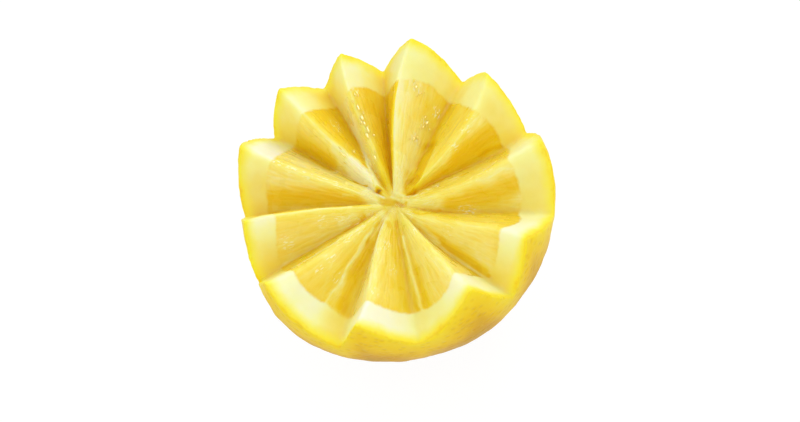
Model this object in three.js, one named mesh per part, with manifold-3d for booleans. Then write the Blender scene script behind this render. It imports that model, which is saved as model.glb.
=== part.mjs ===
// A lemon half with a zigzag "crown" cut, standing on its stem end.
//
// Millimetres, +Z up along the fruit's axis. The origin is the middle of the small flat scar on
// the stem end, which the half rests on. The fruit is one solid: a lemon-shaped body of turning,
// slightly out of round, whose top is cut away by a ring of flat knife strokes. Each stroke runs
// from the axis out through the peel, so its face is a plane through the middle of the cut, and
// two neighbouring strokes meet in a ridge or in a groove.

import * as THREE from 'three';
import { mergeVertices } from 'three/addons/utils/BufferGeometryUtils.js';
import Module from 'manifold-3d';

// Body
const EQUATOR_RADIUS = 31;
const BODY_HALF_LENGTH = 31.4;   // from the widest level to where a plain egg shape would end
const CUT_HEIGHT = 33.5;         // the middle of the cut, where all the knife strokes meet
const EQUATOR_HEIGHT = CUT_HEIGHT + 1.8;
const SHOULDER_DROP = 27;        // below the widest level, where the stem end begins to taper
const BLANK_RISE = 13.5;         // above the widest level, where the uncut blank is closed off

// Stem end
const SCAR_RADIUS = 5.4;
const NECK_RADIUS = 7.7;
const NECK_HEIGHT = 1.4;
const NECK_FLARE = 0.6;          // how much the neck widens for each millimetre upwards
const NECK_PULL = 2.5;           // how far up the neck's own slope carries into the shoulder
const SHOULDER_PULL = 5;         // how far the shoulder's slope carries down towards the neck

// Girth: each entry is a wave round the body, as [lobes, swell, azimuth of one crest in degrees]
const GIRTH_WAVES = [
  [1, 0.24, 89],
  [2, 0.68, 88],
  [3, 0.42, 102],
  [4, 0.35, 49],
  [5, 0.46, -5],
];

// Knife folds in order round the fruit, as [azimuth in degrees, height of the fold at the skin,
// measured from the middle of the cut]. High ones are the teeth, and each is followed by a groove.
const FOLDS = [
  [-1, 9.0], [17, -2.4],
  [35, 9.2], [51.5, -2.8],
  [67, 9.9], [81, -2.1],
  [94, 9.1], [103, -0.9],
  [120, 9.1], [128, -4.1],
  [147, 9.1], [165, -2.2],
  [183, 11.1], [194.5, -2.2],
  [206.5, 7.9], [236, -2.5],
  [244.5, 7.8], [264.5, -1.0],
  [288, 10.1], [302.5, -1.7],
  [316, 9.2], [339, -2.0],
];
const CUTTER_REACH = 1.5 * EQUATOR_RADIUS;
const CUTTER_HEIGHT = 60;

// Fineness
const ROUND_SEGMENTS = 90;
const CURVE_STEPS = 8;

const wasm = await Module();
wasm.setup();

// A closed three.js geometry as a solid for cutting.
function toSolid(geometry) {
  const plain = geometry.clone();
  plain.deleteAttribute('normal');
  plain.deleteAttribute('uv');
  const merged = mergeVertices(plain, 1e-4);
  return new wasm.Manifold(new wasm.Mesh({
    numProp: 3,
    vertProperties: new Float32Array(merged.attributes.position.array),
    triVerts: new Uint32Array(merged.index.array),
  }));
}

function toGeometry(solid) {
  const { vertProperties, triVerts } = solid.getMesh();
  const geometry = new THREE.BufferGeometry();
  geometry.setAttribute('position', new THREE.BufferAttribute(vertProperties, 3));
  geometry.setIndex(new THREE.BufferAttribute(triVerts, 1));
  geometry.computeVertexNormals();
  return geometry;
}

// Radius of the round body at a height above or below its widest level.
function bodyRadius(rise) {
  return EQUATOR_RADIUS * Math.sqrt(1 - (rise / BODY_HALF_LENGTH) ** 2);
}

// How far the girth waves push the skin out, as a share of the radius.
function girth(azimuth) {
  return GIRTH_WAVES.reduce((share, [lobes, swell, crest]) => {
    const turn = lobes * (azimuth - THREE.MathUtils.degToRad(crest));
    return share + (swell / EQUATOR_RADIUS) * Math.cos(turn);
  }, 1);
}

// The outline from the scar, round the neck and shoulder, up the body and across the top.
function bodyOutline() {
  const low = -Math.asin(SHOULDER_DROP / BODY_HALF_LENGTH);
  const high = Math.asin(BLANK_RISE / BODY_HALF_LENGTH);
  const shoulder = new THREE.Vector2(bodyRadius(SHOULDER_DROP), EQUATOR_HEIGHT - SHOULDER_DROP);
  const slope = new THREE.Vector2(
    -EQUATOR_RADIUS * Math.sin(low),
    BODY_HALF_LENGTH * Math.cos(low),
  ).normalize();
  const outline = new THREE.Path();
  outline.moveTo(0, 0);
  outline.lineTo(SCAR_RADIUS, 0);
  outline.quadraticCurveTo(NECK_RADIUS, 0, NECK_RADIUS, NECK_HEIGHT);
  outline.bezierCurveTo(
    NECK_RADIUS + NECK_FLARE * NECK_PULL,
    NECK_HEIGHT + NECK_PULL,
    shoulder.x - SHOULDER_PULL * slope.x,
    shoulder.y - SHOULDER_PULL * slope.y,
    shoulder.x,
    shoulder.y,
  );
  outline.absellipse(0, EQUATOR_HEIGHT, EQUATOR_RADIUS, BODY_HALF_LENGTH, low, high, false);
  outline.lineTo(0, EQUATOR_HEIGHT + BLANK_RISE);
  return outline.getPoints(CURVE_STEPS);
}

// The whole lemon's lower part, uncut, turned and then pushed out of round.
function body() {
  const geometry = new THREE.LatheGeometry(bodyOutline(), ROUND_SEGMENTS);
  geometry.rotateX(Math.PI / 2);
  const position = geometry.attributes.position;
  for (let i = 0; i < position.count; i += 1) {
    const share = girth(Math.atan2(position.getY(i), position.getX(i)));
    position.setX(i, position.getX(i) * share);
    position.setY(i, position.getY(i) * share);
  }
  return toSolid(geometry);
}

// All that the knife takes off, as one block: a drum whose underside is folded into the strokes.
function cutter() {
  const section = [
    new THREE.Vector2(0, 0),
    new THREE.Vector2(CUTTER_REACH, 0),
    new THREE.Vector2(CUTTER_REACH, CUTTER_HEIGHT),
    new THREE.Vector2(0, CUTTER_HEIGHT),
  ];
  const geometry = new THREE.LatheGeometry(section, FOLDS.length, Math.PI / 2);
  geometry.rotateX(Math.PI / 2);
  const position = geometry.attributes.position;
  for (let i = 0; i < position.count; i += 1) {
    const reach = Math.hypot(position.getX(i), position.getY(i));
    if (reach > 1) {
      const turn = Math.atan2(position.getY(i), position.getX(i)) / (2 * Math.PI);
      const fold = (Math.round(turn * FOLDS.length) + FOLDS.length) % FOLDS.length;
      const [degrees, height] = FOLDS[fold];
      const azimuth = THREE.MathUtils.degToRad(degrees);
      const skin = bodyRadius(CUT_HEIGHT + height - EQUATOR_HEIGHT) * girth(azimuth);
      const isUnder = position.getZ(i) < 1;
      position.setX(i, CUTTER_REACH * Math.cos(azimuth));
      position.setY(i, CUTTER_REACH * Math.sin(azimuth));
      position.setZ(i, isUnder ? (height / skin) * CUTTER_REACH : CUTTER_HEIGHT);
    }
  }
  geometry.translate(0, 0, CUT_HEIGHT);
  return toSolid(geometry);
}

const lemonHalf = new THREE.Mesh(
  toGeometry(body().subtract(cutter())),
  new THREE.MeshStandardMaterial({ color: 0xf2cf2e, roughness: 0.4, metalness: 0 }),
);
lemonHalf.name = 'lemon_half';

const lemon = new THREE.Group();
lemon.add(lemonHalf);

export default lemon;
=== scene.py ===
import math
import bpy
import numpy as np
from mathutils import Matrix, Vector, noise


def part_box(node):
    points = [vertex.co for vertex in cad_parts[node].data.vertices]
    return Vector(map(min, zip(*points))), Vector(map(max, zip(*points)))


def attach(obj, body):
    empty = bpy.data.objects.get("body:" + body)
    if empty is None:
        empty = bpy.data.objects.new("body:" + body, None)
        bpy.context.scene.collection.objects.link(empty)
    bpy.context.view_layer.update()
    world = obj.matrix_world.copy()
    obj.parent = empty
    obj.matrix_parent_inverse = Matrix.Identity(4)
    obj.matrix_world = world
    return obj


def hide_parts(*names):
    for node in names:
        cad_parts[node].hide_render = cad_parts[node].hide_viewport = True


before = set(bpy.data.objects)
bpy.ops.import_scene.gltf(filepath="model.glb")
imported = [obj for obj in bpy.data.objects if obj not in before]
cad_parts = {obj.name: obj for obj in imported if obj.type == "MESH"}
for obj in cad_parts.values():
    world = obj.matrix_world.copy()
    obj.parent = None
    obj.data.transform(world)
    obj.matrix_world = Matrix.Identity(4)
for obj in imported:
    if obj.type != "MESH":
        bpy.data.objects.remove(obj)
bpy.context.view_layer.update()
foot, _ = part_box("lemon_half")

# Lemon half
# The fruit grew as one body and is modelled as one closed form. Its face is wedges of juice sacs
# in thin membranes round a pale torn core, then a band of white spongy pith under the zest.
# Its outside is waxy zest pitted by oil glands, down to the scar where the stalk was.
CUT_MIDDLE = 33.5
EQUATOR_HEIGHT = 35.3
EQUATOR_RADIUS = 31.0
BODY_HALF_LENGTH = 31.4
# one millimetre in metres, because lengths are in millimetres until a mesh is placed
MM = 0.001
# lobes round the girth, how far they swell out, and the azimuth of one crest
GIRTH_WAVES = [(1, 0.24, 89), (2, 0.68, 88), (3, 0.42, 102), (4, 0.35, 49), (5, 0.46, -5)]
# Every stroke of the knife ran from the axis out through the peel, so each cut face is nearly
# flat and points at the middle of the cut. The folds between the strokes bow a little sideways
# where the blade wandered. Each has an azimuth, a height at the skin over the middle of the cut,
# and its bow at two shares of the way out
BOW_OUT_AT = 0.75
BOW_IN_AT = 0.4
FOLDS = [
    (-1, 8.6, -1.0, -2.3),
    (17, -2.4, -1.4, -0.6),
    (35, 9.6, -2.5, -2.4),
    (51.5, -2.8, 0.0, 0.0),
    (67, 11.2, 2.0, 1.9),
    (81, -2.1, 0.0, 0.0),
    (94, 9.6, 1.0, 0.4),
    (103, -0.9, -0.3, 0.0),
    (120, 9.1, 0.0, 0.0),
    (128, -4.1, 0.0, 0.0),
    (147, 9.1, 0.4, 0.4),
    (165, -2.2, 0.0, 0.0),
    (183, 11.1, -1.1, -0.8),
    (194.5, -2.2, 0.0, 0.0),
    (206.5, 7.9, 1.2, 1.0),
    (227, 1.2, 0.0, -0.4),
    (236, -2.5, 0.0, -0.3),
    (244.5, 7.8, 0.6, -0.8),
    (264.5, -1.0, 0.0, 0.0),
    (270.5, 1.5, 0.0, 0.0),
    (288, 10.1, -0.3, -0.3),
    (302.5, -1.7, -1.0, -1.7),
    (316, 9.2, 0.6, -0.8),
    (339, -2.0, -0.4, -1.3),
]
RIM_PASSES = 12


def body_radius(height):
    """Radius of the round body at a height above the table."""
    return EQUATOR_RADIUS * np.sqrt(1 - ((height - EQUATOR_HEIGHT) / BODY_HALF_LENGTH) ** 2)


def girth(azimuth):
    """The skin's distance from the axis as a share of the round body's."""
    waves = [swell / EQUATOR_RADIUS * np.cos(lobes * (azimuth - math.radians(crest)))
             for lobes, swell, crest in GIRTH_WAVES]
    return 1 + sum(waves)


fold_azimuth, fold_height, bow_out, bow_in = np.array(FOLDS, float).T
fold_azimuth = np.radians(fold_azimuth)
fold_slope = fold_height / (body_radius(CUT_MIDDLE + fold_height) * girth(fold_azimuth))
outer_bend = bow_out / (BOW_OUT_AT * (1 - BOW_OUT_AT))
inner_bend = bow_in / (BOW_IN_AT * (1 - BOW_IN_AT))
bow_slant = (outer_bend - inner_bend) / (BOW_OUT_AT - BOW_IN_AT)
bow_start = inner_bend - BOW_IN_AT * bow_slant


def around(radius, azimuth, height):
    """Points at these distances from the axis, azimuths and heights."""
    radius, azimuth, height = np.broadcast_arrays(radius, azimuth, height)
    return np.stack([radius * np.cos(azimuth), radius * np.sin(azimuth), height], -1)


class Cut:
    """The cut face as a fan of columns that always has one on each fold. Rows of it lie at
    shares of the way from the axis to the skin."""

    def __init__(self, columns):
        after = np.roll(fold_azimuth, -1) + 2 * np.pi * (np.arange(len(FOLDS)) == len(FOLDS) - 1)
        widths = np.hypot(after - fold_azimuth, np.roll(fold_slope, -1) - fold_slope)
        ends = np.rint(np.cumsum(widths) / widths.sum() * columns).astype(int)
        counts = np.diff(np.append(0, ends))
        self.before = np.repeat(np.arange(len(FOLDS)), counts)
        self.after = (self.before + 1) % len(FOLDS)
        self.across = np.concatenate([np.arange(count) / count for count in counts])
        self.rim = np.full(columns, EQUATOR_RADIUS)
        for _ in range(RIM_PASSES):
            azimuth, slope = self.plane(1.0)
            self.rim = body_radius(CUT_MIDDLE + slope * self.rim) * girth(azimuth)

    def side(self, fold, share):
        """The azimuth of a fold at this share of the way out."""
        bow = (1 - share) * (bow_start[fold] + bow_slant[fold] * share)
        return fold_azimuth[fold] + bow / EQUATOR_RADIUS

    def plane(self, share):
        """The columns' azimuths, and their slopes on the flat faces between the folds."""
        before = self.side(self.before, share)
        after = self.side(self.after, share) + 2 * np.pi * (self.after == 0)
        azimuth = before + (after - before) * self.across
        slope = (fold_slope[self.before] * np.sin(after - azimuth)
                 + fold_slope[self.after] * np.sin(azimuth - before)) / np.sin(after - before)
        return azimuth, slope

    def place(self, share):
        """Points of the cut face at this share of the way out."""
        azimuth, slope = self.plane(share)
        return around(share * self.rim, azimuth, CUT_MIDDLE + slope * share * self.rim)

    def across_facets(self, values):
        """Values given at each facet's first fold, half way and next fold, for every column."""
        first, middle, last = np.array(values, float)[self.before].T
        step = self.across
        return (first * (1 - step) * (1 - 2 * step) + middle * 4 * step * (1 - step)
                + last * step * (2 * step - 1))


# columns of points round the axis, and rows of them down the pulp, the pith and the skin
COLUMNS = 600
PULP_ROWS = 84
BAND_ROWS = 20
SKIN_ROWS = 60
# powers that crowd those rows towards the core, the zest and the rim
PULP_CROWDING = 1.15
BAND_CROWDING = 1.4
SKIN_CROWDING = 1.35
# For each facet, at its first fold, half way and at the next fold: how far out the pulp reaches,
# how pale it is from amber at -1 to cream at 1, and how white the pith is. The paleness and the
# whiteness are partly painted light and shade: facets turned to the lamp are paler and whiter,
# and the pulp is painted amber towards the grooves where shade falls
FACETS = [
    ((0.760, 0.790, 0.830), (0.3, -0.1, -0.1), (0.7, 0.5, 0.3)),
    ((0.795, 0.800, 0.755), (-0.4, 0.8, 0.6), (-0.1, 0.2, 0.4)),
    ((0.760, 0.765, 0.830), (0.0, -0.1, -0.8), (0.5, 0.4, 0.0)),
    ((0.800, 0.800, 0.730), (0.0, 0.4, 1.4), (0.0, 0.4, 0.7)),
    ((0.740, 0.750, 0.800), (-1.1, -1.2, -0.9), (0.5, 0.3, -0.2)),
    ((0.790, 0.800, 0.760), (-0.5, -0.3, 0.7), (-0.2, 0.6, 0.8)),
    ((0.760, 0.760, 0.830), (0.4, 0.7, 0.7), (0.5, 0.2, 0.0)),
    ((0.820, 0.790, 0.790), (-0.7, -0.7, 0.3), (-0.3, 0.3, 0.9)),
    ((0.790, 0.800, 0.810), (0.8, 0.6, 0.0), (0.6, 0.1, -0.2)),
    ((0.850, 0.780, 0.785), (1.1, 0.7, 0.6), (0.5, 1.0, 1.1)),
    ((0.790, 0.820, 0.840), (0.6, 0.8, 0.0), (0.6, 0.2, 0.0)),
    ((0.850, 0.820, 0.800), (-0.8, -1.0, -0.9), (-0.4, -0.4, -0.1)),
    ((0.775, 0.800, 0.830), (0.5, 0.5, 0.5), (1.1, 0.3, 0.0)),
    ((0.830, 0.815, 0.800), (-0.6, -0.2, 0.4), (0.0, 0.3, 0.9)),
    ((0.810, 0.810, 0.785), (0.4, 0.1, -0.4), (0.9, 0.8, 0.8)),
    ((0.790, 0.800, 0.810), (0.4, 0.0, -0.4), (0.4, 0.1, 0.0)),
    ((0.800, 0.795, 0.790), (0.2, 0.8, 1.0), (0.3, 0.7, 1.0)),
    ((0.790, 0.800, 0.785), (0.7, 0.2, -0.4), (1.1, 1.0, 0.6)),
    ((0.785, 0.790, 0.800), (-0.1, -0.2, -0.7), (0.2, 0.2, 0.2)),
    ((0.800, 0.830, 0.785), (0.0, 0.5, 0.9), (0.4, 0.6, 0.9)),
    ((0.785, 0.760, 0.745), (0.7, 0.4, -0.3), (0.8, 0.7, 0.5)),
    ((0.820, 0.810, 0.790), (0.7, 0.5, 0.6), (-0.1, 0.3, 0.8)),
    ((0.790, 0.825, 0.760), (0.4, -0.2, -0.3), (0.9, 0.8, 0.4)),
    ((0.790, 0.785, 0.760), (-0.3, 1.3, 0.4), (0.1, 0.3, 0.6)),
]
# What the blade left on the pulp, with painted shade in grooves and hollows and painted highlight
# along ridges. Each has a path of (azimuth, distance from the axis), a half-width, how far it
# stands out of the face, and its paleness, where -2 is the brown of painted shade in a hole and 2
# is the coat of a seed. A later one covers an earlier one
SCARS = [
    # amber in shallow hollows beside the grooves, painted shade of the grooves
    ([(20, 24), (17, 15)], 1.5, -0.10, -0.9),
    ([(17, 15), (15, 9), (12, 5)], 0.8, -0.10, -0.9),
    ([(15.5, 25), (15.5, 19)], 0.35, -0.10, -1.3),
    ([(348, 24), (344, 19), (338, 11)], 1.6, -0.05, -0.6),
    ([(51, 26), (50, 17), (47, 13)], 0.9, -0.25, -1.1),
    ([(60, 16), (62, 8)], 1.3, 0.05, 0.7),
    ([(80, 24), (81, 16), (86, 9), (95, 4.5)], 1.5, -0.10, -0.8),
    ([(106, 24), (107, 18), (108, 12)], 1.2, -0.15, -0.9),
    ([(127.5, 25), (128, 16)], 1.3, -0.05, -0.8),
    ([(160, 24), (158, 10), (157, 6)], 1.2, -0.05, -0.4),
    ([(232, 24), (230, 18), (227, 10)], 1.0, -0.20, -1.0),
    ([(263, 23), (262, 15), (257, 7)], 1.0, -0.10, -0.5),
    ([(271, 25), (271, 16)], 0.8, -0.05, -0.6),
    ([(192, 6.6), (193, 8.4), (196, 11)], 0.5, -0.10, -0.8),
    ([(303, 29), (300, 16), (296, 8)], 0.35, -0.20, -1.0),
    ([(303, 24), (301, 15), (298, 9)], 0.5, 0.05, -0.4),
    ([(307, 4.7), (312, 6.9), (331, 9.1)], 0.35, -0.15, -0.8),
    # membranes that stand up as fine pale lines, their paleness partly painted highlight where the
    # ridges catch the light
    ([(98.5, 24), (101, 17), (104, 11.5), (115, 6)], 0.45, 0.20, 1.1),
    ([(141, 24), (138, 19), (136, 12)], 0.40, 0.10, 0.8),
    ([(150, 23), (150, 13), (152, 6)], 0.35, 0.10, 0.8),
    ([(156, 10), (155, 8)], 0.25, 0.05, 0.4),
    ([(226, 25), (225, 17), (223, 11), (221, 7)], 0.30, 0.20, 0.9),
    ([(269, 26), (268, 16), (269, 8)], 0.35, 0.15, 0.7),
    ([(298, 13), (297, 7)], 0.40, 0.10, 0.8),
    ([(205, 24), (206, 17), (208, 12), (211, 8)], 0.40, 0.10, 1.0),
    ([(181, 22), (179, 14), (180, 8)], 0.30, 0.05, 0.9),
    # broad pale tissue running out along the ridges, partly painted highlight where they catch the
    # light
    ([(121, 16), (121, 11)], 0.9, 0.15, 1.1),
    ([(284, 14), (283, 7.8), (291, 3.1)], 1.3, 0.15, 0.5),
    ([(346, 13), (342, 8)], 0.9, 0.05, 0.4),
    ([(341, 8.2), (337, 5.9), (333, 3.3)], 0.8, 0.15, 0.8),
    ([(190, 11), (189, 8)], 0.7, 0.10, 0.8),
    ([(205, 13), (212, 9)], 0.7, 0.10, 0.7),
    # the seed that swells under its skin, in a thin brown crease whose brown is partly painted
    # shade
    ([(130, 13), (132, 6)], 1.2, 0.40, 0.2),
    ([(121, 14), (121, 9)], 1.2, 0.10, 0.9),
    ([(121, 11), (121, 8), (123.5, 6)], 1.8, 0.30, 1.4),
    ([(111, 10.4), (109, 8.5), (115, 6.6), (123, 5.0)], 0.28, -0.15, -1.3),
    ([(131, 9.5), (132, 7.9), (129, 6.8)], 0.25, -0.10, -0.9),
    ([(105, 11), (112, 7.2), (121, 4.8)], 0.60, 0.20, 1.2),
    # the torn core: a deep channel, the tongue of skin beside it and the hollow in the middle, the
    # channel and hollow amber partly as painted shade of their depth
    ([(47, 14), (42, 10), (38, 8), (35, 6)], 1.5, -0.45, -1.3),
    ([(35, 6), (33, 4.2), (17, 3.7)], 1.4, -0.50, -1.3),
    ([(66, 9), (66, 6.7), (64, 4.4), (64, 2.3)], 1.2, 0.35, 0.9),
    ([(62, 1.6), (20, 2.1), (8, 3.0), (0, 4.2)], 0.45, 0.25, 0.9),
    ([(158, 2.5), (330, 1.8)], 0.8, -0.30, -0.8),
    ([(20, 0.6), (325, 1.6)], 0.5, -0.15, -1.3),
    ([(100, 1.4), (36, 0.9), (5, 1.2), (346, 1.8)], 0.35, 0.15, 0.9),
    ([(3, 1.8), (348, 3.0), (341, 4.4)], 0.35, 0.15, 0.8),
    ([(148, 5.6), (158, 4.6), (168, 3.6)], 1.3, 0.10, 1.0),
    ([(184, 3.4), (211, 3.4), (234, 4.3)], 0.8, 0.10, 0.8),
    ([(244, 5), (248, 5.6)], 0.50, -0.15, -0.7),
    ([(261, 4.5), (262, 5.6)], 0.50, -0.15, -0.7),
    ([(127, 4.9), (119, 4.6), (113, 3.7)], 0.30, 0.15, 1.2),
    ([(130, 4.4), (137, 3.4), (134, 2.3)], 0.30, 0.15, 1.2),
    # a small hole in a shallow dip, its brown painted shade
    ([(121, 3.7), (125, 4.1)], 0.50, -0.15, -2.1),
]
# painted glints: pale highlight flecks where torn sac tips shine, as azimuth and distance from the
# axis
PAINTED_GLINTS = [
    (93, 23.3), (109, 20.7), (110, 19.8), (64, 23.5), (54, 21.7), (57, 18), (59, 14), (63, 5.4),
    (68, 7), (0, 20.8), (356, 18.5), (353, 16.3), (4, 12.5), (4, 8.6), (7, 8.4), (3, 6.1),
    (356, 5.2), (24, 15), (26, 19), (29, 21), (335, 13.8), (336, 15), (339, 7), (307, 13.6),
    (315, 1.3), (299, 4.4), (283, 9), (189, 21.9), (185, 14.3), (186, 11), (189, 9.4),
    (192, 7.5), (193, 4.9), (200, 5), (211, 5.6), (216, 20.9), (215, 17.3), (224, 19.4),
    (209, 14), (213, 12), (211, 10), (212, 8.5), (239, 8.8), (242, 11.5), (249, 10.3),
    (256, 15.4), (248, 22.1), (246, 1.7), (235, 6.3), (148, 23), (149, 20), (149, 17),
    (148, 14), (148, 11), (121, 13.6), (103, 11.3), (106, 7.5),
]
PAINTED_GLINT_HALF_LENGTH = 0.4
PAINTED_GLINT_EDGE = (0.2, 1.2)
# a scar's edge, as a share of its half-width
SCAR_EDGE = 0.85
PITH_BLEND_PASSES = 6
# how many times the folds are rounded at these shares of the way out
ROUNDED_AT = [0.2, 0.5, 0.85, 1.0]
ROUNDINGS = [45, 16, 7, 1]
# the torn core: where it starts and ends, how it slopes and how pale it is
CORE_START = 0.6
CORE_REACH = 6.0
CORE_SLOPE = 0.1
CORE_TONE = 0.1
CORE_FADE = 0.25
# width and length of the pulp's features along the rays, true this far from the middle
FEATURES_TRUE_AT = 15
SAC_SIZE = (2.4, 8.0)
FIBRE_SIZE = (0.8, 7.0)
STREAK_SIZE = (2.0, 9.0)
# relief of the wedges and sacs, the membranes between sacs, and the seam along the pith, with
# painted shade darkening the pulp along the seam
WEDGE_SWELL = 0.30
SAC_RELIEF = 0.16
SAC_WALL = 0.12
MEMBRANE_PALENESS = 0.2
SEAM_DEPTH = 0.06
SEAM_WIDTH = 0.4
SEAM_SHADE = 0.2
SEAM_SHADE_WIDTH = 0.8
# the stem end, from the shoulder down to the neck, the scar and the pit of the stalk
SHOULDER_DROP = 27.0
SHOULDER_PULL = 5.0
NECK_RADIUS = 7.7
NECK_HEIGHT = 1.4
NECK_FLARE = 0.6
NECK_PULL = 2.5
SCAR_RADIUS = 5.4
STALK_PIT_RADIUS = 3.4
STALK_PIT_DEPTH = 0.9
# flutes round the stem end, how far they drift sideways and how deep they are
FLUTE_COUNT = 9
FLUTE_DRIFT = 1.1
FLUTE_DEPTH = 0.28
# heights where the skin's bumps and its flutes begin and where they are full
BUMP_HEIGHTS = (0.2, 2.2)
FLUTE_HEIGHTS = (14, 4)
# the zest's cut edge: how much of its raggedness is upwards, and how wide and well it is rounded
RAGGED_RISE = 0.6
EDGE_SOFT_WIDTH = 0.6
EDGE_SOFT_PASSES = 8
FAR_FROM_ZEST = 9


def bezier(points, steps=60):
    """Points along the curve that these control points pull."""
    points = np.array(points, float)
    at = np.linspace(0, 1, steps)[:, None]
    degree = len(points) - 1
    return sum(math.comb(degree, i) * at ** i * (1 - at) ** (degree - i) * point
               for i, point in enumerate(points))


def skin_outline():
    """The round body's outline from the middle of the scar up past the cut, as (radius, height)."""
    shoulder_height = EQUATOR_HEIGHT - SHOULDER_DROP
    shoulder = np.array([body_radius(shoulder_height), shoulder_height])
    low = -math.asin(SHOULDER_DROP / BODY_HALF_LENGTH)
    slope = np.array([-EQUATOR_RADIUS * math.sin(low), BODY_HALF_LENGTH * math.cos(low)])
    pull = shoulder - SHOULDER_PULL * slope / np.linalg.norm(slope)
    neck = (NECK_RADIUS, NECK_HEIGHT)
    flare = (NECK_RADIUS + NECK_FLARE * NECK_PULL, NECK_HEIGHT + NECK_PULL)
    past_cut = 0.5
    turn = np.linspace(low, past_cut, 240)
    return np.concatenate([
        bezier([(0, 0), (SCAR_RADIUS, 0)]),
        bezier([(SCAR_RADIUS, 0), (NECK_RADIUS, 0), neck])[1:],
        bezier([neck, flare, pull, shoulder])[1:],
        np.stack([EQUATOR_RADIUS * np.cos(turn),
                  EQUATOR_HEIGHT + BODY_HALF_LENGTH * np.sin(turn)], 1)[1:],
    ])


def ramp(value, low, high):
    """0 where a value is at low and 1 where it is at high, and straight between."""
    return np.clip((value - low) / (high - low), 0, 1)


def eased(value, low, high):
    """0 where a value is under low and 1 where it is over high, with a smooth step between."""
    step = ramp(value, low, high)
    return step * step * (3 - 2 * step)


def outward(points):
    """Unit normals of rows of points that close on themselves."""
    along = np.gradient(points, axis=0)
    across = np.roll(points, -1, 1) - np.roll(points, 1, 1)
    normal = np.cross(along, across)
    return normal / np.maximum(np.linalg.norm(normal, axis=-1, keepdims=True), 1e-9)


def ripples(points, *waves):
    """Smooth noise added up from waves of (height, size, seed)."""
    total = np.zeros(points.shape[:-1])
    for height, size, seed in waves:
        start = Vector((seed * 17.3, seed * 5.1, seed * 29.7))
        flat = [noise.noise(Vector(point) / size + start) for point in points.reshape(-1, 3)]
        total += height * np.array(flat).reshape(total.shape)
    return total


def relaxed(rows):
    """Each point drawn half way to the middle of its two neighbours in its row."""
    return (np.roll(rows, 1, 1) + 2 * rows + np.roll(rows, -1, 1)) / 4


def gap_to(plan, path):
    """How far points in plan are from a path of (azimuth, distance from the axis) corners."""
    turn, reach = np.array(path, float).T
    corners = around(reach, np.radians(turn), 0)[:, :2]
    gap = np.full(plan.shape[:-1], np.inf)
    for start, end in zip(corners[:-1], corners[1:]):
        leg = end - start
        share = np.clip((plan - start) @ leg / (leg @ leg), 0, 1)
        gap = np.minimum(gap, np.linalg.norm(plan - start - share[..., None] * leg, axis=-1))
    return gap


def closed_form(name, points, facts):
    """A ball drawn over these rows of points, of which the first and last are its poles. It
    carries these facts at its points, and each point's row is given back with it."""
    rows, columns = points.shape[:2]
    bpy.ops.object.select_all(action="DESELECT")
    bpy.ops.mesh.primitive_uv_sphere_add(segments=columns, ring_count=rows - 1, calc_uvs=False)
    piece = bpy.context.object
    piece.name = name
    mesh = piece.data
    mesh.name = name
    ball = np.empty(len(mesh.vertices) * 3)
    mesh.vertices.foreach_get("co", ball)
    x, y, z = ball.reshape(-1, 3).T
    row = np.rint(np.arccos(np.clip(z, -1, 1)) / np.pi * (rows - 1)).astype(int)
    turn = np.arctan2(y, x)
    column = np.rint(turn / (2 * np.pi) * columns).astype(int) % columns
    mesh.vertices.foreach_set("co", (points[row, column] * MM).ravel())
    for fact, values in facts.items():
        layer = mesh.attributes.new(fact, "FLOAT", "POINT")
        layer.data.foreach_set("value", values[row, column].astype(np.float32))
    mesh.update()
    bpy.ops.object.shade_smooth()
    return piece, row


def combed(points, across, along):
    """Space drawn out along the rays from the middle of the cut, one unit to each feature."""
    ray = points - np.array([0, 0, CUT_MIDDLE])
    length = np.linalg.norm(ray, axis=-1, keepdims=True)
    return ray / np.maximum(length, 0.01) * (FEATURES_TRUE_AT / across + length / along)


cut = Cut(COLUMNS)
reach, tone, painted_light_whiteness = (cut.across_facets([facet[kind] for facet in FACETS])
                          for kind in range(3))
for _ in range(PITH_BLEND_PASSES):
    painted_light_whiteness = relaxed(painted_light_whiteness[None])[0]
reach = reach + ripples(cut.place(reach), (0.008, 1.5, 7), (0.006, 0.6, 8))
outwards = np.linspace(0, 1, PULP_ROWS + 1)[:, None] ** PULP_CROWDING + 0 * reach
flesh_share = reach * outwards
band_step = 1 - (1 - np.linspace(0, 1, BAND_ROWS + 1)[1:, None]) ** BAND_CROWDING
band_share = reach + (1 - reach) * band_step
into_pith = (band_share - reach) * cut.rim
into_pulp = (reach - flesh_share) * cut.rim

# the soft flesh rounds the folds, more towards the core than at the peel
face_share = np.concatenate([flesh_share, band_share])
face = cut.place(face_share)
roundings = np.interp(face_share.mean(1), ROUNDED_AT, ROUNDINGS)
for turn in range(max(ROUNDINGS)):
    face = np.where((turn < roundings)[:, None, None], relaxed(face), face)
flesh, band = face[:PULP_ROWS + 1], face[PULP_ROWS + 1:]
band_depth = np.linalg.norm(band - band[-1], axis=-1)

# the folds fade out where the core is torn
radius = np.hypot(flesh[..., 0], flesh[..., 1])
firm = eased(radius, CORE_START, CORE_REACH)
flesh[..., 2] = (CUT_MIDDLE + (flesh[..., 2] - CUT_MIDDLE) * firm
                 + CORE_SLOPE * radius * (1 - firm))

# the skin follows the round body's outline down from the rim
outline = skin_outline()
outline_run = np.append(0, np.cumsum(np.linalg.norm(np.diff(outline, axis=0), axis=1)))
above_neck = outline[:, 1] > NECK_HEIGHT
rim_run = np.interp(band[-1, :, 2], outline[above_neck, 1], outline_run[above_neck])
skin_step = np.linspace(0, 1, SKIN_ROWS + 1)[1:, None] ** SKIN_CROWDING
skin_run = rim_run * (1 - skin_step)
rim_azimuth, _ = cut.plane(1.0)
skin = around(np.interp(skin_run, outline_run, outline[:, 0]) * girth(rim_azimuth),
              rim_azimuth, np.interp(skin_run, outline_run, outline[:, 1]))
skin_below = rim_run - skin_run

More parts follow.
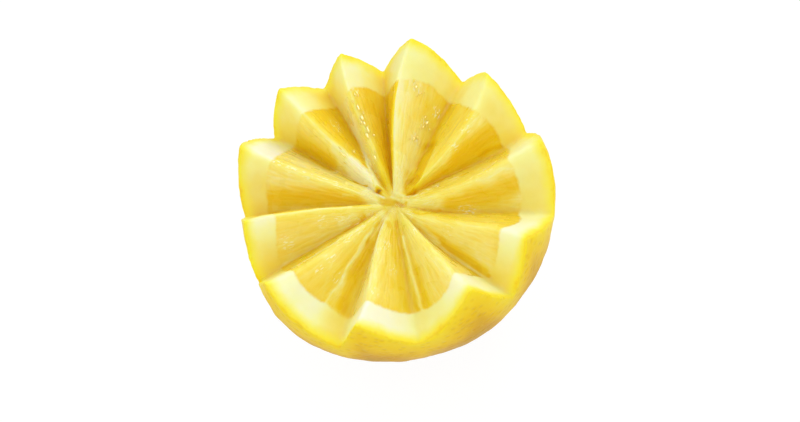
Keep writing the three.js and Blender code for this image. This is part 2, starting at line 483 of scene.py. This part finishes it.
# juice sacs and all that the blade left torn
sacs = np.empty(flesh.shape[:2])
lattice = combed(flesh, *SAC_SIZE)
for index in np.ndindex(sacs.shape):
    near, _ = noise.voronoi(Vector(lattice[index]))
    sacs[index] = min(near[1] - near[0], 0.5)
fibres = ripples(combed(flesh, *FIBRE_SIZE), (0.06, 1, 5))
swell = np.sin(np.pi * cut.across) * (1 - outwards ** 8)
flesh_rise = WEDGE_SWELL * swell + SAC_RELIEF * sacs + fibres + ripples(flesh, (0.12, 3, 15))
flesh_rise = flesh_rise * firm - SEAM_DEPTH * np.exp(-(into_pulp / SEAM_WIDTH) ** 2)
flesh_rise += (1 - firm) * ripples(flesh, (0.20, 1.8, 6), (0.06, 0.7, 9))

tone = tone * (1 - CORE_FADE * (1 - outwards))
tone += ripples(combed(flesh, *STREAK_SIZE), (0.25, 1, 16))
# painted shade darkens the pulp along its seam with the pith
tone -= SEAM_SHADE * np.exp(-into_pulp / SEAM_SHADE_WIDTH)
tone += MEMBRANE_PALENESS * ramp(sacs, SAC_WALL, 0)
tone = tone * firm + (CORE_TONE + ripples(flesh, (0.4, 1.8, 17))) * (1 - firm)
wander = ripples(flesh, (0.25, 2.2, 11))[..., None] * np.array([1, -1])
for path, half_width, stands, paleness in SCARS:
    # the farther a scar stands out or in, the crisper its edge
    blur = np.interp(abs(stands), [0.15, 0.4], [0.7, 0.3])
    gap = gap_to(flesh[..., :2] + wander, path) / half_width
    there = 1 - eased(gap, SCAR_EDGE - blur, SCAR_EDGE + blur)
    flesh_rise += stands * there
    tone += (paleness - tone) * there

# painted glints: the pulp is marked round each listed spot for pale highlight flecks
gleam = np.zeros(flesh.shape[:2])
for azimuth, distance in PAINTED_GLINTS:
    ends = [(azimuth, distance - PAINTED_GLINT_HALF_LENGTH), (azimuth, distance + PAINTED_GLINT_HALF_LENGTH)]
    gleam = np.maximum(gleam, 1 - eased(gap_to(flesh[..., :2], ends), *PAINTED_GLINT_EDGE))

# the pith is spongy, and the skin is bumpy and fluted down to the pit where the stalk was
band_rise = ripples(band, (0.12, 4, 3), (0.06, 1.2, 4))
standing = ramp(skin[..., 2], *BUMP_HEIGHTS)
lower = ramp(skin[..., 2], *FLUTE_HEIGHTS)
flute_phase = FLUTE_COUNT * rim_azimuth + FLUTE_DRIFT * np.cos(2 * rim_azimuth)
skin_rise = ripples(skin, (0.30, 10, 1), (0.16, 3.2, 2), (0.07, 1.4, 12))
skin_rise = (skin_rise + FLUTE_DEPTH * np.cos(flute_phase) * lower ** 2) * standing
stalk_pit = ramp(np.hypot(skin[..., 0], skin[..., 1]), STALK_PIT_RADIUS, 0)
skin_rise -= STALK_PIT_DEPTH * np.sqrt(stalk_pit)

# relief on the flesh is straight up, so that a fold never closes on itself
points = np.concatenate([flesh, band, skin])
rise = np.concatenate([flesh_rise, band_rise, skin_rise])
heading = outward(points)
heading[:PULP_ROWS + 1] = (0, 0, 1)
points = points + heading * rise[..., None]

# the zest's cut edge is ragged and a little rounded
ragged = around(1, rim_azimuth, RAGGED_RISE) * ripples(
    band[-1], (0.16, 0.9, 13), (0.12, 2.6, 14))[:, None]
from_rim = np.concatenate([band_depth, skin_below])[..., None]
points[PULP_ROWS + 1:] += ragged * np.exp(-from_rim ** 2)
softness = np.exp(-(from_rim[:-1] / EDGE_SOFT_WIDTH) ** 2)
for _ in range(EDGE_SOFT_PASSES):
    middle = (points[PULP_ROWS:-2] + points[PULP_ROWS + 2:]) / 2
    points[PULP_ROWS + 1:-1] += (middle - points[PULP_ROWS + 1:-1]) * softness / 2

# the first and last rows are poles, so each is drawn together into one point
for pole in (0, -1):
    points[pole] = points[pole].mean(0)

no_flesh, no_band, no_skin = (0 * part[..., 0] for part in (flesh, band, skin))
lemon, row = closed_form("cut_lemon", points, {
    "tone": np.concatenate([tone, tone[-1] + no_band, no_skin]),
    "gleam": np.concatenate([gleam, no_band, no_skin]),
    "white": np.concatenate([painted_light_whiteness + no_flesh, painted_light_whiteness + no_band, no_skin]),
    "edge": np.concatenate([-into_pulp, into_pith, no_skin]),
    "depth": np.concatenate([no_flesh + FAR_FROM_ZEST, band_depth, no_skin]),
    "below": np.concatenate([no_flesh, no_band, skin_below]),
})


class Wire:
    """One socket of a material's nodes. Sums and products of wires are Math nodes."""

    def __init__(self, material, socket=None):
        self.material = material
        self.socket = socket

    def add(self, kind, settings=None, sockets=None, output=0):
        """A node of this kind. Its settings are made first, then its sockets are filled."""
        node = self.material.node_tree.nodes.new("ShaderNode" + kind)
        for name, value in (settings or {}).items():
            if name == "stops":
                elements = node.color_ramp.elements
                while len(elements) < len(value):
                    elements.new(0.5)
                for element, (position, stop_colour) in zip(elements, value):
                    element.position = position
                    element.color = stop_colour
            else:
                setattr(node, name, value)
        for name, value in (sockets or {}).items():
            if isinstance(value, Wire):
                self.material.node_tree.links.new(value.socket, node.inputs[name])
            else:
                node.inputs[name].default_value = value
        return Wire(self.material, node.outputs[output])

    def math(self, operation, *values):
        """A Math node over these values."""
        return self.add("Math", {"operation": operation}, dict(enumerate(values)))

    def __add__(self, other):
        return self.math("ADD", self, other)

    __radd__ = __add__

    def __mul__(self, other):
        return self.math("MULTIPLY", self, other)

    __rmul__ = __mul__

    def __sub__(self, other):
        return self.math("SUBTRACT", self, other)

    def __rsub__(self, other):
        return self.math("SUBTRACT", other, self)

    def vector(self, operation, other):
        """A vector sum or difference of this and the other."""
        return self.add("VectorMath", {"operation": operation}, {0: self, 1: other})

    def scaled(self, size):
        """This vector made longer by this factor."""
        return self.add("VectorMath", {"operation": "SCALE"}, {0: self, "Scale": size})

    def output(self, name):
        """The output of this name on the node that this wire comes from."""
        return Wire(self.material, self.socket.node.outputs[name])

    def between(self, low, high):
        """0 where this is under low and 1 where it is over high, eased."""
        return self.add("MapRange", {"interpolation_type": "SMOOTHSTEP"},
                        {"Value": self, "From Min": low, "From Max": high})

    def mix(self, first, second):
        """The first colour where this is 0 and the second where it is 1."""
        return self.add("Mix", {"data_type": "RGBA"}, {0: self, 6: first, 7: second}, 2)

    def shade(self, low, high, *colours):
        """A colour that runs through these evenly as this goes from low to high."""
        share = self.add("MapRange", {}, {"Value": self, "From Min": low, "From Max": high})
        stops = [(i / (len(colours) - 1), stop) for i, stop in enumerate(colours)]
        return self.add("ValToRGB", {"stops": stops}, {"Fac": share})

    def fact(self, name):
        """The fact of this name that the mesh carries at its points."""
        return self.add("Attribute", {"attribute_name": name}, output=2)


def colour(code):
    """A colour written as on a paint card, as the linear red, green and blue of a socket."""
    shares = [int(code[i:i + 2], 16) / 255 for i in (0, 2, 4)]
    return [*(x / 12.92 if x <= 0.04045 else ((x + 0.055) / 1.055) ** 2.4 for x in shares), 1]


def new_nodes():
    """The start of a new material, as a wire from nowhere."""
    material = bpy.data.materials.new("new")
    material.use_nodes = True
    material.node_tree.nodes.clear()
    return Wire(material)


def principled(name, base, roughness, bumps, strength, depth, sockets):
    """A Principled shader with this colour and roughness over bumps this strong and deep."""
    normal = base.add("Bump", {}, {"Height": bumps, "Strength": strength, "Distance": depth})
    return base.add("BsdfPrincipled", {"label": name}, {
        "Base Color": base, "Roughness": roughness, "Normal": normal, **sockets})


def as_material(name, shader):
    """The material that this shader finishes."""
    output = shader.material.node_tree.nodes.new("ShaderNodeOutputMaterial")
    shader.material.node_tree.links.new(shader.socket, output.inputs["Surface"])
    shader.material.name = name
    return shader.material


def lemon_skin():
    """Waxy zest: bright lemon yellow at the rim, darker and more orange below it as painted shade,
    mottled, pitted by oil glands, duller at the neck.
    """
    start = new_nodes()
    place = start.add("TexCoord", output=3)
    below = start.fact("below")
    blotch = start.add("TexNoise", {}, {"Vector": place, "Scale": 130, "Detail": 5})
    fleck = start.add("TexNoise", {}, {"Vector": place, "Scale": 900, "Detail": 2})
    gland = start.add("TexVoronoi", {}, {"Vector": place, "Scale": 700})
    pit = 1 - gland.between(0.05, 0.5)
    height = start.add("SeparateXYZ", {}, {"Vector": place}, 2)
    # darker and more orange further below the rim: painted shade of the lower body over its
    # mottling
    mottle_and_painted_shade = below + blotch * 9 - 4.5
    yellow = mottle_and_painted_shade.shade(0, 18, colour("FDDE28"), colour("F6CC16"), colour("DEA808"),
                        colour("CE9C08"))
    yellow = (fleck.between(0.5, 0.8) * 0.2).mix(yellow, colour("FCE878"))
    yellow = (pit * 0.2).mix(yellow, colour("D09A0C"))
    yellow = ((1 - height.between(1 * MM, 8 * MM)) * 0.5).mix(yellow, colour("C9B04A"))
    bumps = fleck * 0.3 + blotch * 0.6 - pit * 0.8
    return principled("zest", yellow, 0.4 + fleck * 0.16, bumps, 0.45, 0.3 * MM, {
        "Subsurface Weight": 0.4, "Subsurface Radius": (1.0, 0.8, 0.3),
        "Subsurface Scale": 2 * MM, "IOR": 1.45, "Specular IOR Level": 0.18})


def cut_pith(place, white, depth):
    """White sponge, yellow where the oily zest edges it, with painted light and shade: whiter on
    facets turned to the lamp, yellower towards the grooves and on facets turned from it.
    """
    soft = white.add("TexNoise", {}, {"Vector": place, "Scale": 240, "Detail": 3})
    fine = white.add("TexNoise", {}, {"Vector": place, "Scale": 1600, "Detail": 2})
    gland = white.add("TexVoronoi", {}, {"Vector": place, "Scale": 900})
    # the whiteness is painted light and shade: whiter on facets turned to the lamp, yellower
    # towards the grooves and on facets turned from it
    sponge = (white + soft * 0.5 - 0.25).shade(
        -0.5, 1.0, colour("F0CE30"), colour("F6E26A"), colour("FDF3A2"), colour("FFFFD8"))
    inwards = depth + soft * 1.6 - 0.8
    cream = inwards.between(0.5, 3.0).mix(colour("FDEA58"), sponge)
    zest = inwards.between(-0.5, 0.6).mix(colour("F2C414"), colour("FFE238"))
    base = inwards.between(0.1, 1.4).mix(zest, cream)
    oil = (1 - gland.between(0.1, 0.45)) * (1 - inwards.between(0.4, 1.1)) * 0.25
    base = oil.mix(base, colour("EDB810"))
    bumps = soft * 0.7 + fine * 0.3
    return principled("pith", base, 0.42 + fine * 0.15, bumps, 0.3, 0.3 * MM, {
        "Subsurface Weight": 1.0, "Subsurface Radius": (1.0, 0.9, 0.5),
        "Subsurface Scale": 3 * MM, "IOR": 1.4})


def wet_pulp(place, tone):
    """Cloudy amber juice behind thin skins, combed with paler fibres, wet on top, with painted
    glints and the painted shade that its tone carries.
    """
    sway = tone.add("TexNoise", {}, {"Vector": place, "Scale": 260, "Detail": 2}, 1)
    ray = place.vector("ADD", sway.scaled(0.7 * MM)).vector("SUBTRACT", (0, 0, CUT_MIDDLE * MM))
    length = tone.add("VectorMath", {"operation": "LENGTH"}, {0: ray}, 1)
    heading = tone.add("VectorMath", {"operation": "NORMALIZE"}, {0: ray})
    broad = heading.scaled(11 + length * 110)
    thin = heading.scaled(50 + length * 240)
    sac = tone.add("TexVoronoi", {"feature": "DISTANCE_TO_EDGE"}, {"Vector": broad, "Scale": 1.0})
    fibre = tone.add("TexNoise", {}, {"Vector": thin, "Scale": 1.0, "Detail": 4, "Roughness": 0.6})
    cloud = tone.add("TexNoise", {}, {"Vector": place, "Scale": 200, "Detail": 2})
    skins = 1 - sac.between(0.0, 0.16)
    paler = tone + fibre * 0.9 + cloud * 0.6 + skins * 0.2 - 0.77
    flesh = paler.shade(-1.7, 1.3, colour("DAA80A"), colour("EBC312"), colour("EFCD20"),
                        colour("F0D43A"), colour("F3DD5C"), colour("F6E782"), colour("FBF1B0"))
    # brown where the paleness is -2: painted shade in the small hole of the core
    flesh = (1 - tone.between(-2.2, -1.8)).mix(flesh, colour("A27814"))
    flesh = tone.between(1.1, 1.8).mix(flesh, colour("F8ECD0"))
    # painted glints: pale highlight flecks mixed into the colour where the pulp is marked for them
    fine = heading.scaled(40 + length * 1000)
    chip = tone.add("TexNoise", {}, {"Vector": fine, "Scale": 1.0, "Detail": 1})
    glint = chip.between(0.56, 0.64) * tone.fact("gleam")
    flesh = glint.mix(flesh, colour("FFF6C4"))
    bumps = fibre * 0.6 + sac.between(0.0, 0.5) * 0.9 + cloud * 0.3
    return principled("pulp", flesh, 0.14 + cloud * 0.3, bumps, 0.35, 0.4 * MM, {
        "Subsurface Weight": 1.0, "Subsurface Radius": (1.0, 0.85, 0.3),
        "Subsurface Scale": 4 * MM, "IOR": 1.37})


def cut_face():
    """Pulp as far as it reaches and pith beyond, with a soft uneven edge between them."""
    start = new_nodes()
    place = start.add("TexCoord", output=3)
    edge = start.fact("edge")
    wobble = start.add("TexNoise", {}, {"Vector": place, "Scale": 900, "Detail": 2})
    share = (edge + wobble * 0.7 - 0.35).between(-0.35, 0.45)
    pulp = wet_pulp(place, start.fact("tone"))
    pith = cut_pith(place, start.fact("white"), start.fact("depth"))
    return start.add("MixShader", {}, {0: share, 1: pulp, 2: pith})


lemon.data.materials.append(as_material("cut face", cut_face()))
lemon.data.materials.append(as_material("lemon skin", lemon_skin()))
first_corner = np.empty(len(lemon.data.polygons), int)
corner_vertex = np.empty(len(lemon.data.loops), int)
lemon.data.polygons.foreach_get("loop_start", first_corner)
lemon.data.loops.foreach_get("vertex_index", corner_vertex)
face_row = np.minimum.reduceat(row[corner_vertex], first_corner)
lemon.data.polygons.foreach_set("material_index", (face_row >= PULP_ROWS + BAND_ROWS).astype(int))
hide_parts("lemon_half")
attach(lemon, "root")


# Juice beads
# Drops of juice and the wet tips of torn sacs, which catch the light. They sit where the blade
# opened the most sacs. Each is a few low blisters, half sunk in the pulp and turned to glint.
BEAD_HEIGHT = 0.12
BEAD_LEAN = Vector((0.30, 0.04, 0.95)).normalized()
BEAD_SLOPE = 0.1
# azimuth, distance from the axis, half-length along the ray and half-width
BEADS = [
    (95, 20, 1.0, 0.45), (95, 17.8, 0.8, 0.5), (94, 15.5, 1.0, 0.5), (96, 14.1, 0.9, 0.5),
    (95, 16.6, 0.6, 0.4), (97, 9.7, 0.8, 0.35), (94, 22.9, 0.5, 0.3), (111, 13.4, 0.4, 0.3),
    (64, 23.5, 0.6, 0.5), (62, 22.8, 0.5, 0.3), (56, 18.5, 0.6, 0.45), (57, 17.2, 0.5, 0.35),
    (54, 21.7, 0.35, 0.3), (60, 14, 0.6, 0.35), (56, 13.8, 0.4, 0.3), (121, 13.6, 0.9, 0.4),
]
# a bead is three blisters: shares of its length and width, and shifts along and aside in those
BLISTERS = [(1.1, 0.7, 0.0, 0.0), (0.6, 0.4, 1.3, 1.2), (0.4, 0.45, -1.1, -1.6)]
pulp_points = points[:PULP_ROWS + 1]
bead_pieces = []
for index, (azimuth, distance, half_length, half_width) in enumerate(BEADS):
    side = 1 - 2 * (index % 2)
    for long, wide, shift, slip in BLISTERS:
        aim = around(distance + shift * half_length,
                     math.radians(azimuth) + side * slip * half_width / distance, 0)
        gaps = np.linalg.norm(pulp_points[..., :2] - aim[:2], axis=-1)
        spot = np.unravel_index(np.argmin(gaps), gaps.shape)
        along = Vector((aim[0], aim[1], BEAD_SLOPE * distance))
        sideways = BEAD_LEAN.cross(along).normalized()
        axes = Matrix((sideways.cross(BEAD_LEAN), sideways, BEAD_LEAN)).transposed()
        bpy.ops.object.select_all(action="DESELECT")
        bpy.ops.mesh.primitive_uv_sphere_add(
            segments=16, ring_count=10, radius=MM, location=Vector(pulp_points[spot]) * MM,
            rotation=axes.to_euler(), calc_uvs=False,
            scale=(long * half_length, wide * half_width, BEAD_HEIGHT))
        bpy.ops.object.transform_apply(location=True, rotation=True, scale=True)
        bpy.ops.object.shade_smooth()
        bead_pieces.append(bpy.context.object)
bpy.ops.object.select_all(action="DESELECT")
for piece in bead_pieces:
    piece.select_set(True)
bpy.context.view_layer.objects.active = bead_pieces[0]
bpy.ops.object.join()
beads = bpy.context.object
beads.name = "juice_beads"
beads.data.name = "juice_beads"


def juice():
    """Pale wet sac tips under a film of juice."""
    start = new_nodes()
    place = start.add("TexCoord", output=3)
    cloud = start.add("TexNoise", {}, {"Vector": place, "Scale": 900, "Detail": 2})
    base = cloud.shade(0.3, 0.7, colour("F0D250"), colour("F6E070"))
    return principled("juice", base, 0.08 + cloud * 0.06, cloud, 0.2, 0.1 * MM, {
        "IOR": 1.5, "Specular IOR Level": 1.0})


beads.data.materials.append(as_material("juice", juice()))
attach(beads, "root")


# Table, light and camera
# The half stands on its stem end on a plain white table, lit from above and behind its right
# shoulder by a soft lamp, and seen from above as it is served.
TABLE_HALF_SIZE = 3.0
TABLE_WHITE = 0.88
TABLE_GLOW = 1.055
GLOW_SHARE = 0.88
LAMP_HEADING = Vector((0.48, 0.58, 0.66))
LAMP_DISTANCE = 1.2
LAMP_SIZE = 0.34
LAMP_POWER = 2.2
SKY_STRENGTH = 0.955
CAMERA_ELEVATION = 58.55
CAMERA_ROLL = 15.97
CAMERA_DISTANCE = 0.534
CAMERA_LENS = 125.6
AIM_RIGHT = 1.064 * MM
AIM_UP = -1.497 * MM

bpy.ops.object.select_all(action="DESELECT")
bpy.ops.mesh.primitive_plane_add(size=2 * TABLE_HALF_SIZE, location=(0, 0, foot.z))
table = bpy.context.object
table.name = "table"


def table_white():
    """Matt white that takes the shadow, with a glow over it where it is looked at."""
    start = new_nodes()
    path = start.add("LightPath")
    seen = path.math("MAXIMUM", path.output("Is Camera Ray"), path.output("Is Glossy Ray"))
    seen = path.math("MAXIMUM", seen, path.output("Is Transmission Ray"))
    matt = start.add("BsdfDiffuse", {}, {"Color": (TABLE_WHITE, TABLE_WHITE, TABLE_WHITE, 1)})
    glow = start.add("Emission", {}, {"Color": (1, 1, 1, 1), "Strength": TABLE_GLOW})
    return start.add("MixShader", {}, {0: seen * GLOW_SHARE, 1: matt, 2: glow})


table.data.materials.append(as_material("table white", table_white()))

lamp_data = bpy.data.lights.new("soft lamp", "AREA")
lamp_data.shape = "DISK"
lamp_data.size = LAMP_SIZE
lamp_data.energy = LAMP_POWER
lamp = bpy.data.objects.new("soft lamp", lamp_data)
bpy.context.scene.collection.objects.link(lamp)
cut_middle = Vector((0, 0, CUT_MIDDLE * MM))
lamp.location = cut_middle + LAMP_HEADING.normalized() * LAMP_DISTANCE
lamp.rotation_euler = LAMP_HEADING.to_track_quat("Z", "Y").to_euler()

sky = bpy.data.worlds.new("sky")
sky.use_nodes = True
sky.node_tree.nodes["Background"].inputs["Color"].default_value = (1, 1, 1, 1)
sky.node_tree.nodes["Background"].inputs["Strength"].default_value = SKY_STRENGTH
bpy.context.scene.world = sky

elevation = math.radians(CAMERA_ELEVATION)
roll = math.radians(CAMERA_ROLL)
back = Vector((0, -math.cos(elevation), math.sin(elevation)))
level_right = Vector((1, 0, 0))
level_up = Vector((0, math.sin(elevation), math.cos(elevation)))
right = level_right * math.cos(roll) - level_up * math.sin(roll)
up = level_up * math.cos(roll) + level_right * math.sin(roll)
aim = cut_middle + AIM_RIGHT * right + AIM_UP * up
camera_data = bpy.data.cameras.new("camera")
camera_data.lens = CAMERA_LENS
camera = bpy.data.objects.new("camera", camera_data)
bpy.context.scene.collection.objects.link(camera)
camera.matrix_world = Matrix.Translation(aim + back * CAMERA_DISTANCE) @ Matrix(
    (right, up, back)).transposed().to_4x4()
bpy.context.scene.camera = camera
bpy.context.scene.view_settings.view_transform = "Standard"
